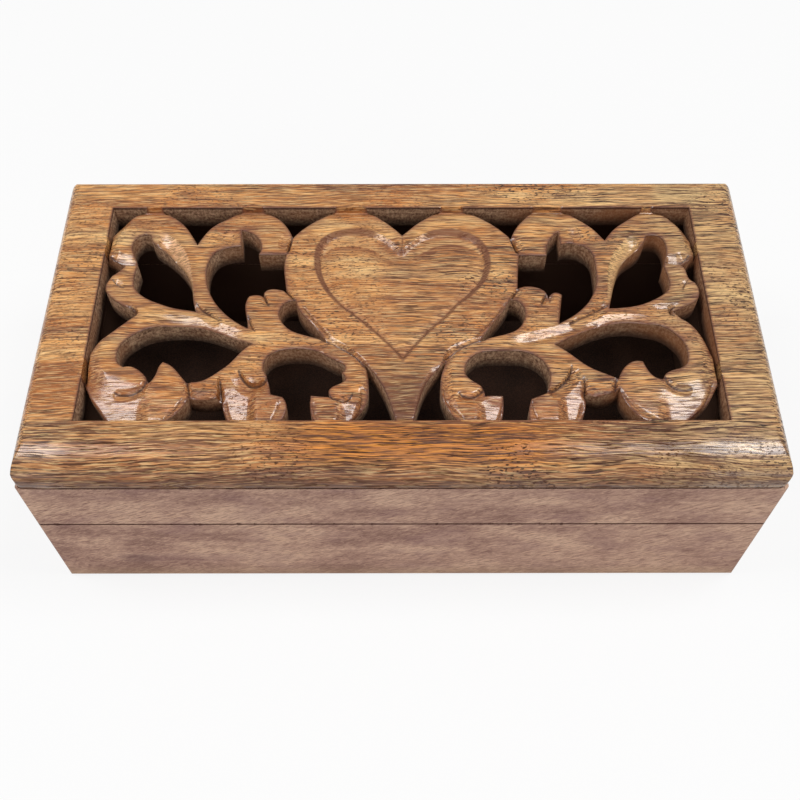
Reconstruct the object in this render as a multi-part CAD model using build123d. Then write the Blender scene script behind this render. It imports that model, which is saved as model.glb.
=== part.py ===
from build123d import *
import os
from math import radians, tan

os.makedirs("parts", exist_ok=True)

# A wooden keepsake box. The lid's top is one board, carved and pierced as a heart between leafy
# scrolls, on four rails. Origin: middle of the underside. X to the right, Y to the back, Z up.

# ---- Driving dimensions (mm) ----

# Box and lid
box_length = 250.0
box_depth = 125.0
base_height = 44.0
lid_seam = 0.3  # gap between the closed lid and the base
lid_rail_height = 25.7
board_thickness = 10.0
wall_thickness = 10.0  # base walls
rail_thickness = 10.0  # lid rails
corner_round = 1.2  # upright outer corners
board_corner_round = 3.0  # upright corners of the lid board
foot_round = 2.0  # lower outer edges of the base
front_round_depth = 15.0  # how far the rounding of the board's front edge reaches back
front_round_drop = 8.5  # and how far it falls
side_roundover = 4.5  # upper edges of the lid board
back_roundover = 1.2
least_board_edge = 1.0  # upright face left below those roundings, at least

# Floor
floor_thickness = 5.0
floor_rebate = 5.0  # how far the floor reaches into the walls
felt_thickness = 1.5
felt_gap = 0.3  # felt to wall, all round
floor_pin_length = 14.0
floor_pin_radius = 0.6
floor_pin_head_radius = 1.3
floor_pin_head_thickness = 0.6
long_pin_spacing = 80.0  # pins along the front and back walls

# Carved board
side_member = 18.0  # plain border beside the fretwork
front_member = 20.0
back_member = 12.5
fret_recess = 0.5  # fretwork below the border's top
groove_width = 2.6  # line inside the heart
groove_depth = 1.2
cut_margin = 1.0  # how far a cutting shape runs past the wood

# Hinges and lid stop
hinge_length = 25.0
hinge_from_end = 50.0  # box end to the middle of a hinge
hinge_setback = 3.0  # back face to the hinge axis
knuckle_count = 3
knuckle_radius = 2.0
knuckle_gap = 0.15
pin_radius = 1.0
pin_clearance = 0.05
pin_head_radius = 1.6
pin_head_thickness = 0.8
pocket_clearance = 0.15  # wood to knuckle
leaf_thickness = 1.0
leaf_margin = 1.0  # wood left between a leaf and the inside of the box
leaf_fit = 0.1  # wood to leaf edge
lid_open_angle = 100.0
stop_clearance_angle = 2.0
screw_spacing = 14.0
screw_radius = 0.9
screw_head_radius = 1.7
screw_head_height = 0.9
screw_length = 8.0

# ---- Sizes that follow ----

half_length = box_length / 2
half_depth = box_depth / 2
board_bottom = base_height + lid_seam + lid_rail_height
board_top = board_bottom + board_thickness
fret_top = board_top - fret_recess
opening_half_length = half_length - side_member
opening_front = front_member - half_depth
opening_back = half_depth - back_member
hinge_y = half_depth - hinge_setback
hinge_z = base_height + lid_seam / 2
hinge_x = half_length - hinge_from_end
leaf_width = min(wall_thickness, rail_thickness) - hinge_setback - leaf_margin
bevel_angle = (lid_open_angle + stop_clearance_angle) / 2

# ---- Fretwork pattern ----
# The paper pattern is drawn for an opening of this size and stretched to fit the board's.
# Each opening through the board is a list of runs. A run starts where the last one ended: one
# point makes a straight edge, more make a smooth curve. Points past the border are cut off by it.

pattern_half_length = 107.0
pattern_front = -42.5
pattern_back = 50.0

left_openings = {
    "back corner": [
        [(-112, 56)],
        [(-90, 56)],
        [(-94.5, 50), (-99.5, 46), (-103.5, 41), (-106, 37.5), (-108.5, 33.5)],
        [(-112, 34.5)],
    ],
    "side": [
        [(-112, 29.5)],
        [(-108.5, 28.5)],
        [(-106, 27.5), (-103, 25.5), (-99, 22.5)],
        [(-101, 20), (-103, 18)],
        [(-104.5, 14.5)],
        [(-104, 11), (-102, 8.5), (-99, 6), (-95.5, 4), (-93, 3)],
        [(-92.5, 0.5)],
        [(-96.5, -3.5), (-100, -7), (-103.5, -10.5), (-105.5, -14.5), (-108.5, -19.5)],
        [(-112, -18.5)],
    ],
    "front corner": [
        [(-112, -23)],
        [(-108.5, -24)],
        [(-105.5, -28), (-103.5, -32), (-100.5, -36), (-97.5, -40), (-93.5, -44)],
        [(-92, -46)],
        [(-112, -46)],
    ],
    "between arches": [
        [(-92, 55)],
        [(-87.5, 48.8), (-83.3, 45.6), (-79.8, 42), (-76.6, 37.2), (-74, 32.5)],
        [(-72, 37), (-69.6, 40.8), (-66.8, 43.5), (-63, 46.4), (-59.8, 49.2), (-56, 55)],
    ],
    "arch and heart": [
        [(-54, 55)],
        [(-50.6, 49.4), (-47.6, 47.2), (-44.6, 44.8), (-42.3, 41.6), (-40.7, 38.6), (-39.5, 35.8)],
        [(-37.2, 38.7), (-34.6, 41.5), (-32.2, 43.7), (-29.4, 45.9), (-25.8, 48.6), (-22, 55)],
    ],
    "outer arch": [
        [(-71.5, 2.5)],
        [(-73, 7.5), (-74, 13), (-77, 20), (-81.5, 26), (-86.5, 30.5), (-90, 33.5), (-91.5, 37)],
        [(-93.5, 37.5), (-96.5, 35.5), (-97.5, 32.5), (-96.5, 28), (-94.5, 23)],
        [(-95, 18), (-94.5, 13.5), (-91.5, 9.5), (-86.5, 6.5), (-80, 4), (-71.5, 2.5)],
    ],
    "inner arch": [
        [(-41.5, 28)],
        [(-51.5, 28)],
        [(-51, 33), (-52.5, 36), (-55.5, 38.5), (-58.5, 39.5)],
        [(-58, 32)],
        [(-63.5, 31), (-67, 29), (-69, 25), (-69.5, 19.5), (-68.5, 13.5), (-66, 7.5), (-60, 0),
         (-53, -5)],
        [(-53.5, -1), (-54.5, 4.5), (-53.5, 9)],
        [(-51, 9.5), (-48.5, 9)],
        [(-47.5, 11.5), (-44, 12), (-40.5, 11)],
        [(-41.5, 17.5), (-42, 23.5), (-41.5, 28)],
    ],
    "leaf and heart": [
        [(-37, 7)],
        [(-41, 5.5), (-42.5, 1.5), (-41.5, -2), (-38.5, -5.5), (-34.5, -7.5), (-26, -10.5)],
        [(-31, -3), (-35, 2), (-37, 7)],
    ],
    "great scroll": [
        [(-51, -11.5)],
        [(-57, -9), (-63.5, -6), (-70, -4), (-77.5, -3.5), (-83.5, -4), (-89.5, -6), (-93.5, -9),
         (-96, -12.5), (-96.5, -15.5), (-96, -18.5), (-93.5, -21)],
        [(-90.5, -21), (-88, -22.5), (-86, -24.5), (-84.5, -27)],
        [(-82.5, -24.5), (-81.5, -20.5), (-80.5, -19)],
        [(-76.5, -21.5), (-74, -24.5), (-72, -27)],
        [(-65.5, -26), (-61.5, -23), (-57.5, -19), (-55, -15.5), (-51, -11.5)],
    ],
    "under the leaf": [
        [(-70.5, -32.5)],
        [(-65.5, -33.5), (-60, -32.5)],
        [(-59.5, -35), (-58.5, -38), (-55.5, -43.5)],
        [(-54, -46)],
        [(-82, -46)],
        [(-79.5, -43.5)],
        [(-75, -40), (-71.5, -36), (-70.5, -32.5)],
    ],
    "lower curl": [
        [(-20, -23.5)],
        [(-19, -21), (-23, -18), (-29, -14.5), (-36, -13.5), (-42, -14.5), (-45.5, -17), (-46.5, -20),
         (-45.5, -24)],
        [(-44.5, -27), (-43.5, -31.5)],
        [(-39.5, -32.5)],
        [(-38, -35.5), (-38.5, -39.5), (-41, -43)],
        [(-42, -46)],
        [(-27, -46)],
        [(-28.5, -43)],
        [(-30, -38), (-30, -32.5)],
        [(-23.5, -33)],
        [(-23.5, -29.5), (-19, -26.5), (-20, -23.5)],
    ],
    "beside the stem": [
        [(-13, -19)],
        [(-11.5, -23), (-11, -28), (-11.5, -33), (-14, -37.5), (-18.5, -42.5)],
        [(-20, -46)],
        [(-1.5, -46)],
        [(-2, -42)],
        [(-4, -35), (-6, -29.5), (-9, -24), (-13, -19)],
    ],
}

right_openings = {
    "back corner": [
        [(112, 56)],
        [(90, 56)],
        [(93.6, 49.6), (96.8, 47.3), (99.8, 44.4), (102.2, 41.2), (104.3, 37.4), (106, 34.6), (108, 32.5)],
        [(112, 33.5)],
    ],
    "side": [
        [(112, 29)],
        [(108, 28)],
        [(105, 27), (103, 24.5), (100, 23)],
        [(101.5, 21), (102, 17.5), (104, 15)],
        [(105, 12), (104.5, 8.5), (103, 6.5), (100.5, 5), (97.5, 3.5), (94.5, 2)],
        [(97, -1)],
        [(101, -4.5), (103.5, -9), (105, -14.5), (108, -20)],
        [(112, -19)],
    ],
    "front corner": [
        [(112, -23.5)],
        [(108, -24.5)],
        [(105, -28.5), (103, -32), (99.5, -36), (95.5, -39.5), (91, -43.5)],
        [(90, -46)],
        [(112, -46)],
    ],
    "between arches": [
        [(56, 55)],
        [(60, 49.6), (63, 47.2), (66, 44.6), (68.8, 41.8), (71.4, 38.5), (74.1, 34.5)],
        [(76.4, 37.8), (79.2, 41), (82.8, 44), (86.4, 47), (89, 49.6), (93, 55)],
    ],
    "arch and heart": [
        [(20, 55)],
        [(23.6, 49.4), (27.2, 47.2), (30.4, 45), (33.4, 42.5), (36.2, 39.6), (40, 35.5)],
        [(41, 38), (42.3, 40.6), (44.1, 43.4), (46.2, 46.2), (48.8, 49.7), (52, 55)],
    ],
    "outer arch": [
        [(72.5, 3.5)],
        [(79, 4), (83.5, 5), (88, 7), (92, 9.5), (94.5, 12.5), (95, 17.5), (94, 22.5)],
        [(95.5, 27), (96, 32), (94.5, 36), (92, 37), (89.5, 36.5)],
        [(88, 33), (85.5, 30), (80.5, 26), (77, 19), (74.5, 11), (72.5, 3.5)],
    ],
    "inner arch": [
        [(42.5, 27.5)],
        [(52.5, 27.5)],
        [(53, 32), (55, 36), (57.5, 38.5)],
        [(58, 32.5)],
        [(63.5, 33), (66.5, 31.5), (69, 28), (69.5, 23), (69.5, 18), (68.5, 12.5), (66, 7), (60, 0.5),
         (54.5, -3)],
        [(55.5, 3), (56.5, 9.5)],
        [(54.5, 10.5), (51.5, 8)],
        [(50.5, 11), (47, 13), (41, 12)],
        [(41.5, 18), (42, 23.5), (42.5, 27.5)],
    ],
    "leaf and heart": [
        [(38, 7.5)],
        [(41, 6.5), (43, 3), (42.5, -1.5), (40.5, -5), (36, -7.5), (27, -10.5)],
        [(31, -3.5), (35, 2), (38, 7.5)],
    ],
    "great scroll": [
        [(52.5, -12)],
        [(58.5, -17), (63, -21), (68.5, -24), (72.5, -26)],
        [(74.5, -22), (78, -19), (81.5, -19)],
        [(82.5, -22), (84.5, -25), (87.5, -26)],
        [(88.5, -24), (91, -22.5), (94, -21.5)],
        [(96.5, -19), (97, -15.5), (96.5, -11.5), (94, -7.5), (90.5, -4.5), (85.5, -3), (79.5, -2),
         (73, -2.5), (66.5, -4.5), (59.5, -8), (52.5, -12)],
    ],
    "under the leaf": [
        [(60, -30.5)],
        [(65, -32), (69, -31.5), (72.5, -29.5)],
        [(73.5, -34), (76.5, -39), (82, -43.5)],
        [(84, -46)],
        [(56, -46)],
        [(57, -43.5)],
        [(60, -38.5), (61, -33), (60, -30.5)],
    ],
    "lower curl": [
        [(21.5, -24)],
        [(21.5, -21), (23.5, -17.5), (27.5, -15), (32, -14.5), (38.5, -14.5), (43.5, -15.5), (47.5, -18.5),
         (49.5, -22.5), (49.5, -26.5), (48, -31.5)],
        [(43, -33.5)],
        [(42, -37), (42, -43)],
        [(41, -46)],
        [(32, -46)],
        [(32, -43)],
        [(33.5, -37.5), (33.5, -32.5)],
        [(27.5, -32.5)],
        [(27, -29.5), (23.5, -26.5), (21.5, -24)],
    ],
    "beside the stem": [
        [(15, -18.5)],
        [(13.5, -24), (13, -31), (14.5, -36), (18.5, -42.5)],
        [(20, -46)],
        [(3.5, -46)],
        [(4, -42)],
        [(6, -33.5), (8.5, -27), (12, -22), (15, -18.5)],
    ],
}

heart_notch = [
    [(-15, 55)],
    [(-12, 49), (-9, 46.6), (-6, 43.9), (-3, 40.7), (0.3, 37)],
    [(2.8, 39.5), (5.2, 42.2), (8, 44.8), (11.4, 47.4), (14.6, 50), (18, 55)],
]

# The line carved inside the heart, from its top valley down each side to its tip
heart_line_left = [
    (0, 30), (-3, 33.5), (-7, 36.5), (-12.5, 39), (-18.5, 39), (-24.5, 37.5), (-28.5, 35), (-30.5, 30.5),
    (-30.5, 24.5), (-29, 18), (-26, 11), (-21, 4), (-14, -2), (-6, -9), (1, -17.5),
]
heart_line_right = [
    (0, 30), (3.5, 33.5), (7.5, 37), (13, 39), (19, 39.5), (24.5, 38), (29, 35), (31, 30.5),
    (31.5, 24), (29.5, 18), (23.5, 9.5), (16, 0), (9, -8.5), (1, -17.5),
]


def on_board(point):
    """A pattern point moved to its place in the board's opening."""
    x, y = point
    depth_share = (y - pattern_front) / (pattern_back - pattern_front)
    return (
        x * opening_half_length / pattern_half_length,
        opening_front + depth_share * (opening_back - opening_front),
    )


def opening_face(runs):
    """The face inside one opening of the pattern."""
    edges = []
    start = on_board(runs[0][0])
    last = start
    for run in runs[1:]:
        points = [last] + [on_board(p) for p in run]
        edges.append(Line(*points) if len(points) == 2 else Spline(*points))
        last = points[-1]
    if last != start:
        edges.append(Line(last, start))
    return make_face(Curve() + edges)


def block(x, y, z):
    """A block given as (low, high) along X, Y and Z."""
    size = (x[1] - x[0], y[1] - y[0], z[1] - z[0])
    return Pos(x[0], y[0], z[0]) * Box(*size, align=(Align.MIN, Align.MIN, Align.MIN))


def rod_x(x, radius, y, z):
    """A round rod along X, given as (low, high)."""
    rod = Cylinder(radius, x[1] - x[0], align=(Align.CENTER, Align.CENTER, Align.MIN))
    return Pos(x[0], y, z) * Rot(0, 90, 0) * rod


# ---- Carved lid board ----

def rounded_front(drop):
    """A block as large as the board whose upper front edge has an elliptical rounding."""
    centre = (front_round_depth - half_depth, board_top - drop)
    arc = EllipticalCenterArc(centre, front_round_depth, drop, start_angle=90, arc_size=90)
    rest = Polyline(
        arc @ 1,
        (-half_depth, board_bottom),
        (half_depth, board_bottom),
        (half_depth, board_top),
        arc @ 0,
    )
    profile = make_face(arc + rest)
    return Pos(-half_length, 0, 0) * extrude(Plane.YZ * profile, box_length)


def carved_board():
    blank = block((-half_length, half_length), (-half_depth, half_depth), (board_bottom, board_top))
    board = fillet(blank.edges().filter_by(Axis.Z), board_corner_round)
    most_round = board_thickness - least_board_edge
    top_long = blank.edges().filter_by(Axis.X).group_by(Axis.Z)[-1].sort_by(Axis.Y)
    top_short = blank.edges().filter_by(Axis.Y).group_by(Axis.Z)[-1]
    board &= rounded_front(min(front_round_drop, most_round))
    board &= fillet(top_long[-1], min(back_roundover, most_round))
    board &= fillet(top_short, min(side_roundover, most_round))

    border = Pos(0, (opening_front + opening_back) / 2) * Rectangle(
        2 * opening_half_length, opening_back - opening_front
    )
    board -= extrude(Pos(0, 0, fret_top) * border, fret_recess + cut_margin)
    for runs in [*left_openings.values(), *right_openings.values(), heart_notch]:
        hole = opening_face(runs) & border
        board -= extrude(Pos(0, 0, board_bottom - cut_margin) * hole, board_thickness + 2 * cut_margin)
    for line in (heart_line_left, heart_line_right):
        stroke = trace(Spline(*[on_board(p) for p in line]), groove_width)
        board -= extrude(Pos(0, 0, fret_top - groove_depth) * stroke, groove_depth + cut_margin)
    return board


# ---- Walls, rails and floor ----

def ring(thickness, bottom, top, names):
    """Four boards butted into a ring: long ones front and back, short ones between them."""
    front = block((-half_length, half_length), (-half_depth, thickness - half_depth), (bottom, top))
    back = block((-half_length, half_length), (half_depth - thickness, half_depth), (bottom, top))
    inner_y = (thickness - half_depth, half_depth - thickness)
    left = block((-half_length, thickness - half_length), inner_y, (bottom, top))
    right = block((half_length - thickness, half_length), inner_y, (bottom, top))
    front = fillet(front.edges().filter_by(Axis.Z).sort_by(Axis.Y)[:2], corner_round)
    back = fillet(back.edges().filter_by(Axis.Z).sort_by(Axis.Y)[-2:], corner_round)
    return dict(zip(names, (front, back, left, right)))


def stop_bevel(side):
    """What the lid stop cuts from the back edge below the hinge axis (side -1) or above it (1)."""
    reach = hinge_setback + cut_margin
    drop = reach * tan(radians(bevel_angle))
    corners = [
        (hinge_y, hinge_z),
        (hinge_y + reach, hinge_z + side * drop),
        (hinge_y + reach, hinge_z),
    ]
    profile = make_face(Polyline(*corners, close=True))
    return Pos(-half_length - cut_margin, 0, 0) * extrude(Plane.YZ * profile, box_length + 2 * cut_margin)


def floor_pins():
    """Panel pins driven up through the floor into the walls."""
    pin = Cylinder(floor_pin_radius, floor_pin_length, align=(Align.CENTER, Align.CENTER, Align.MIN))
    pin += Cylinder(
        floor_pin_head_radius, floor_pin_head_thickness, align=(Align.CENTER, Align.CENTER, Align.MIN)
    )
    side_x = half_length - wall_thickness + floor_rebate / 2
    long_y = half_depth - wall_thickness + floor_rebate / 2
    places = [(x, y) for x in (-long_pin_spacing, 0, long_pin_spacing) for y in (-long_y, long_y)]
    places += [(-side_x, 0), (side_x, 0)]
    return [Pos(x, y, 0) * pin for x, y in places]


# ---- Hinges ----

def knuckle_spans(x, owner):
    """The (low, high) X of each knuckle: the base leaf has the outer ones, the lid leaf the rest."""
    pitch = hinge_length / knuckle_count
    wanted = 0 if owner == "base" else 1
    spans = []
    for i in range(knuckle_count):
        if i % 2 == wanted:
            low = x - hinge_length / 2 + i * pitch
            spans.append((low + knuckle_gap / 2, low + pitch - knuckle_gap / 2))
    return spans


def leaf_plate(x, owner, grow=0.0):
    """A leaf's flat plate, flush with the wood it is let into, or its recess when grown."""
    bottom = base_height - leaf_thickness if owner == "base" else base_height + lid_seam
    return block(
        (x - hinge_length / 2 - grow, x + hinge_length / 2 + grow),
        (hinge_y - leaf_width - grow, hinge_y),
        (bottom, bottom + leaf_thickness),
    )


def screws(x, owner):
    """A leaf's two countersunk screws, heads flush with the leaf."""
    shank = Cylinder(screw_radius, screw_length, align=(Align.CENTER, Align.CENTER, Align.MAX))
    head = Pos(0, 0, -screw_head_height) * Cone(
        screw_radius, screw_head_radius, screw_head_height, align=(Align.CENTER, Align.CENTER, Align.MIN)
    )
    screw = shank + head
    surface = base_height if owner == "base" else base_height + lid_seam
    turn = Rot(0 if owner == "base" else 180, 0, 0)
    middle_y = hinge_y - (knuckle_radius + leaf_width) / 2
    places = (x - screw_spacing / 2, x + screw_spacing / 2)
    return [Pos(place, middle_y, surface) * turn * screw for place in places]


def leaf(x, owner):
    """One leaf with its knuckles, clear of the other leaf's."""
    other = "lid" if owner == "base" else "base"
    part = leaf_plate(x, owner)
    for span in knuckle_spans(x, other):
        room = (span[0] - knuckle_gap, span[1] + knuckle_gap)
        part -= rod_x(room, knuckle_radius + pocket_clearance, hinge_y, hinge_z)
    for span in knuckle_spans(x, owner):
        part += rod_x(span, knuckle_radius, hinge_y, hinge_z)
    part -= rod_x((x - hinge_length, x + hinge_length), pin_radius + pin_clearance, hinge_y, hinge_z)
    for screw in screws(x, owner):
        part -= screw
    return part


def hinge_pin(x):
    end = hinge_length / 2
    pin = rod_x((x - end, x + end), pin_radius, hinge_y, hinge_z)
    pin += rod_x((x - end - pin_head_thickness, x - end), pin_head_radius, hinge_y, hinge_z)
    pin += rod_x((x + end, x + end + pin_head_thickness), pin_head_radius, hinge_y, hinge_z)
    return pin


def hinge_room(x):
    """The round pocket that the knuckles and the pin's heads turn in."""
    end = hinge_length / 2 + pin_head_thickness + leaf_fit
    return rod_x((x - end, x + end), knuckle_radius + pocket_clearance, hinge_y, hinge_z)


# ---- Put together ----

parts = {"lid_carved_board": carved_board()}
parts |= ring(
    wall_thickness, 0, base_height,
    ("base_front_wall", "base_back_wall", "base_left_wall", "base_right_wall"),
)
parts |= ring(
    rail_thickness, base_height + lid_seam, board_bottom,
    ("lid_front_rail", "lid_back_rail", "lid_left_rail", "lid_right_rail"),
)

floor_x = half_length - wall_thickness + floor_rebate
floor_y = half_depth - wall_thickness + floor_rebate
floor_panel = block((-floor_x, floor_x), (-floor_y, floor_y), (0, floor_thickness))
foot = block((-half_length, half_length), (-half_depth, half_depth), (0, base_height))
long_foot = fillet(foot.edges().filter_by(Axis.X).group_by(Axis.Z)[0], foot_round)
short_foot = fillet(foot.edges().filter_by(Axis.Y).group_by(Axis.Z)[0], foot_round)
for name in ("base_front_wall", "base_back_wall", "base_left_wall", "base_right_wall"):
    parts[name] -= floor_panel
    parts[name] &= long_foot
    parts[name] &= short_foot

pins = floor_pins()
for name in ("base_front_wall", "base_back_wall", "base_left_wall", "base_right_wall"):
    for pin in pins:
        parts[name] -= pin
for pin in pins:
    floor_panel -= pin
parts["base_floor_panel"] = floor_panel
parts["base_floor_pins"] = Compound(children=pins)

felt_x = half_length - wall_thickness - felt_gap
felt_y = half_depth - wall_thickness - felt_gap
parts["base_floor_felt"] = block(
    (-felt_x, felt_x), (-felt_y, felt_y), (floor_thickness, floor_thickness + felt_thickness)
)

parts["base_back_wall"] -= stop_bevel(-1)
parts["lid_back_rail"] -= stop_bevel(1)
leaf_screws = {"base": [], "lid": []}
for hand, x in (("left", -hinge_x), ("right", hinge_x)):
    for owner, wood in (("base", "base_back_wall"), ("lid", "lid_back_rail")):
        parts[wood] -= leaf_plate(x, owner, grow=leaf_fit)
        parts[wood] -= hinge_room(x)
        for screw in screws(x, owner):
            parts[wood] -= screw
        leaf_screws[owner] += screws(x, owner)
        parts[f"hinge_{hand}_{owner}_leaf"] = leaf(x, owner)
    parts[f"hinge_{hand}_pin"] = hinge_pin(x)
for owner, group in leaf_screws.items():
    parts[f"hinge_{owner}_leaf_screws"] = Compound(children=group)

for name, part in parts.items():
    part.label = name
    export_step(part, f"parts/{name}.step")
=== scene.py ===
import math

import bpy
import numpy as np
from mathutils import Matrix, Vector, noise
from mathutils.geometry import delaunay_2d_cdt
from mathutils.kdtree import KDTree


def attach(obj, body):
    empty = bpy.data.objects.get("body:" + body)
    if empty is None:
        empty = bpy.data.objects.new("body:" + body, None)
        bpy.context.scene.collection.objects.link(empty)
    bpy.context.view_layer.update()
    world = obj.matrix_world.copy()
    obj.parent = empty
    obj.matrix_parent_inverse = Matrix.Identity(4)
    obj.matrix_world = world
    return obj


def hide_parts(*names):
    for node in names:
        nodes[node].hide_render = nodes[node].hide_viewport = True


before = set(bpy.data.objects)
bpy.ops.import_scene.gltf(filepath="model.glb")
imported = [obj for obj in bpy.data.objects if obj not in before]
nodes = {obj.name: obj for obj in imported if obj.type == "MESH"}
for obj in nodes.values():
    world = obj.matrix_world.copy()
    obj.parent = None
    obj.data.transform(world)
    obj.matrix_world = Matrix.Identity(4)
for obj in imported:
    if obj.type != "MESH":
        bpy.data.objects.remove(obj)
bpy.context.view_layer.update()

MM = 0.001

# The board, in millimetres
BOARD_TOP = 80.0
BOARD_UNDER = 70.0
HALF_LENGTH = 125.0
HALF_DEPTH = 62.5
FRONT_ROUND = 15.0
FRONT_DROP = 8.5
SIDE_ROUND = 4.5
BACK_ROUND = 1.2
CORNER = 3.0
CORNER_GROWTH = 0.8
OPENING = (-107.0, -42.5, 107.0, 50.0)
FRET_STEP = 0.5

# How far the wood is rounded at the opening's edges and at the fretwork's, in millimetres
BORDER_EDGE_ROUND = 0.45
FRET_EDGE_ROUND = 0.65
# A rounded edge's fall as a share of its reach, and how much of a quarter circle it follows
EDGE_FALL = 0.75
EDGE_BEND = 0.96
LOWER_EDGE_CHIPS = 0.45

# How far from an edge the edge stain with its painted shade reaches, and at what depth a hollow's painted
# shade is full, in millimetres
EDGE_SHADE_REACH = 1.3
BORDER_EDGE_SHADE_REACH = 0.9
WIDE_EDGE_SHADE_REACH = 4.5
DEEP_HOLLOW = 2.2

# Places of the board's two finishes in its list of materials
VARNISHED = 0
SAWN = 1

# How finely the board is meshed, in millimetres: along the fretwork's edges, in the fretwork,
# in the border and round the rim
EDGE_PITCH = 0.65
GRID_PITCH = 0.72
BORDER_PITCH = 2.2
RIM_PITCH = 1.25
# the turn that makes a corner of an outline, and the one that makes an edge look sharp
CORNER_TURN = math.radians(24)
CREASE_TURN = math.radians(32)
# staggered rows stand closer than the points in them, and each point is a little off its place
ROW_SHARE = 0.866
OFF_PLACE = 0.12
# rows of points beside each edge and beside each knife line
EDGE_ROWS = (0.28, 0.75, 1.4)
CUT_ROWS = (0.0, -0.36, 0.36, -0.85, 0.85)
# least distances between one kind of point and another
CUT_APART = 0.24
CUT_FROM_EDGE = 0.42
ROW_FROM_CUT = 0.3
GRID_FROM_CUT = 0.5
GRID_FROM_EDGE = 1.75
# how far the fine grid reaches past the opening, and where the coarse one starts
FINE_REACH = 2.0
COARSE_START = 2.6
RIM_CLEAR = 0.9
# shares of the way down to the underside, at the rim and in the cut-outs
RIM_DROPS = (0.35, 0.72, 0.9, 1.0)
HOLE_DROPS = (0.12, 0.4, 0.7, 1.0)
ROUND_STEPS = 10
# points closer than this are one
WELD = 1e-5


# ---------------------------------------------------------------- outlines

def board_outlines(node):
    """Outlines of the board's flat underside: the rim first, then each cut-out."""
    spots = [tuple(round(c / MM, 3) for c in v.co) for v in node.data.vertices]
    floor = min(spot[2] for spot in spots) + 0.001
    edges = set()
    for face in node.data.polygons:
        ring = [spots[v] for v in face.vertices]
        if all(spot[2] < floor for spot in ring):
            edges.update(zip(ring, ring[1:] + ring[:1]))
    after = {a: b for a, b in edges if (b, a) not in edges}
    loops = []
    while after:
        start, spot = after.popitem()
        loop = [start]
        while spot != start:
            loop.append(spot)
            spot = after.pop(spot)
        loops.append(np.array(loop)[:, :2])
    return sorted(loops, key=lambda loop: -np.ptp(loop[:, 0]))


def smooth_run(run, pitch):
    """Points at an even pitch on a soft curve through a run of points."""
    if len(run) == 2:
        count = max(1, round(np.linalg.norm(run[1] - run[0]) / pitch))
        return run[0] + (run[1] - run[0]) * np.linspace(0, 1, count + 1)[:, None]
    gaps = np.linalg.norm(np.diff(run, axis=0), axis=1)
    along = np.concatenate([[0], np.cumsum(gaps)])
    lean = np.empty_like(run)
    lean[1:-1] = (run[2:] - run[:-2]) / (along[2:] - along[:-2])[:, None]
    steps = np.diff(run, axis=0) / gaps[:, None]
    lean[0] = 2 * steps[0] - lean[1]
    lean[-1] = 2 * steps[-1] - lean[-2]
    count = max(1, round(along[-1] / pitch))
    at = np.linspace(0, along[-1], count + 1)
    seg = np.clip(np.searchsorted(along, at, side="right") - 1, 0, len(gaps) - 1)
    t = ((at - along[seg]) / gaps[seg])[:, None]
    span = gaps[seg][:, None]
    return ((2 * t**3 - 3 * t**2 + 1) * run[seg] + (t**3 - 2 * t**2 + t) * span * lean[seg]
            + (3 * t**2 - 2 * t**3) * run[seg + 1] + (t**3 - t**2) * span * lean[seg + 1])


def even_loop(loop, pitch):
    """The outline again with an even pitch, its sharp corners kept."""
    back = loop - np.roll(loop, 1, axis=0)
    ahead = np.roll(loop, -1, axis=0) - loop
    turn = np.arctan2(back[:, 0] * ahead[:, 1] - back[:, 1] * ahead[:, 0], (back * ahead).sum(axis=1))
    corners = list(np.nonzero(np.abs(turn) > CORNER_TURN)[0]) or [0]
    out = []
    for here, there in zip(corners, corners[1:] + [corners[0] + len(loop)]):
        run = loop[np.arange(here, there + 1) % len(loop)]
        out.append(smooth_run(run, pitch)[:-1])
    return np.concatenate(out)


def inside(points, loop):
    """Which points are inside an outline."""
    x, y = points[:, 0][:, None], points[:, 1][:, None]
    a, b = loop, np.roll(loop, -1, axis=0)
    crosses = (a[:, 1] > y) != (b[:, 1] > y)
    drop = np.where(b[:, 1] == a[:, 1], 1.0, b[:, 1] - a[:, 1])
    hit = (b[:, 0] - a[:, 0]) * (y - a[:, 1]) / drop + a[:, 0]
    return (np.count_nonzero(crosses & (x < hit), axis=1) % 2).astype(bool)


# ---------------------------------------------------------------- carving

def near_line(points, line):
    """Distance to a line, the side of it (left is +1), and how far along it, 0 to 1."""
    best = np.full(len(points), np.inf)
    side = np.zeros(len(points))
    along = np.zeros(len(points))
    lengths = np.linalg.norm(np.diff(line, axis=0), axis=1)
    starts = np.concatenate([[0], np.cumsum(lengths)])
    for i, length in enumerate(lengths):
        a, step = line[i], (line[i + 1] - line[i]) / length
        away = points - a
        t = away @ step
        held = np.clip(t, 0, length)
        gap = np.linalg.norm(away - held[:, None] * step, axis=1)
        closer = gap < best
        best = np.where(closer, gap, best)
        side = np.where(closer, np.sign(step[0] * away[:, 1] - step[1] * away[:, 0]), side)
        along = np.where(closer, (starts[i] + held) / starts[-1], along)
    return best, side, along


def ease(value):
    value = np.clip(value, 0, 1)
    return value * value * (3 - 2 * value)


def ends(along, length, taper):
    """1 along a line, easing to 0 over the last few millimetres of each end."""
    if not taper:
        return 1.0
    return ease(np.minimum(along, 1 - along) * length / taper + 0.05)


def groove(points, line, depth, left, right, taper=2.0):
    """A knife cut along a line, with flanks of its own width on each side."""
    gap, side, along = near_line(points, line)
    width = np.where(side > 0, left, right)
    length = np.linalg.norm(np.diff(line, axis=0), axis=1).sum()
    return -depth * np.clip(1 - gap / width, 0, 1) * ends(along, length, taper)


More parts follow.
